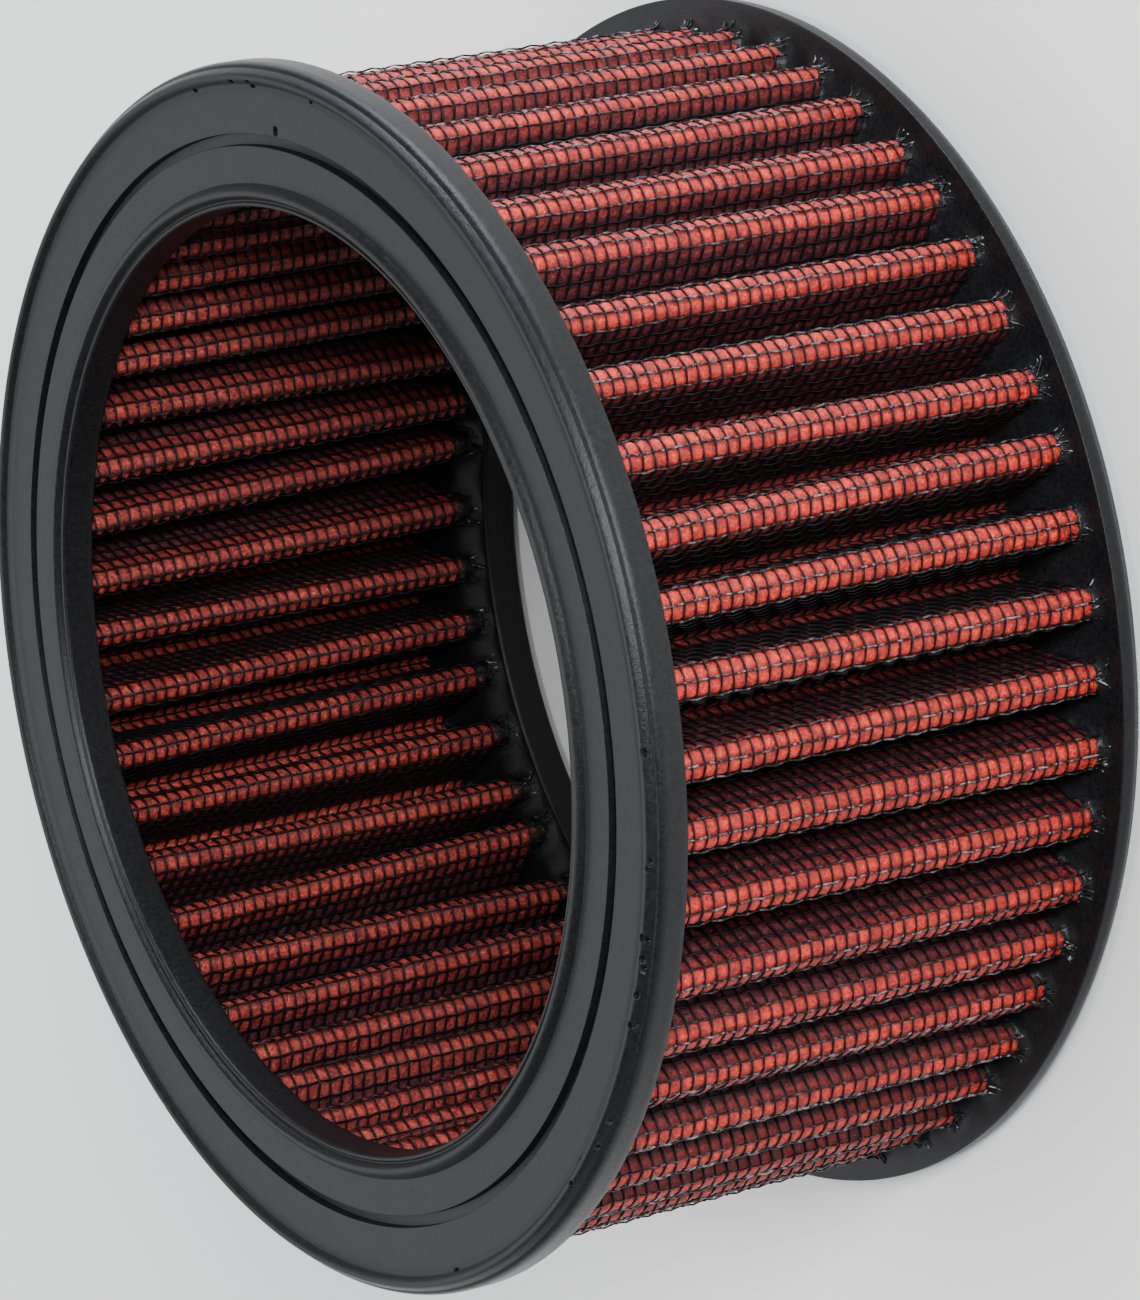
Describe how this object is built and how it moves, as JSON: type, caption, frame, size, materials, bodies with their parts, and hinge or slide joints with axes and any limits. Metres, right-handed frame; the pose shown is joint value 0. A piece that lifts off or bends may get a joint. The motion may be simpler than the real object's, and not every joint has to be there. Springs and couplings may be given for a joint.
{
  "type": "pleated air filter element",
  "caption": "Round pleated gauze air filter element, with wire screens inside and out, and a moulded soft end cap at each end round an open bore.",
  "frame": {"origin": "middle of the rear cap's resting plane, where the crests of its sealing beads touch the surface, on the ring's axis", "axes": "+Z along the ring's axis, from the rear cap to the front cap; +X and +Y are the same by symmetry, with the seam clip of the pleats on the +Y axis"},
  "size_m": [0.146, 0.146, 0.068],
  "materials": {
    "end_cap_rubber": "satin moulded black urethane",
    "wire_screen": "black coated woven wire",
    "oiled_gauze": "red oiled cotton gauze",
    "clip_metal": "plain folded strip"
  },
  "bodies": {
    "root": {"front_end_cap": "end_cap_rubber", "rear_end_cap": "end_cap_rubber", "outer_wire_screen": "wire_screen", "inner_wire_screen": "wire_screen", "gauze_ply_1": "oiled_gauze", "gauze_ply_2": "oiled_gauze", "gauze_ply_3": "oiled_gauze", "gauze_ply_4": "oiled_gauze", "seam_clip": "clip_metal"}
  },
  "joints": []
}
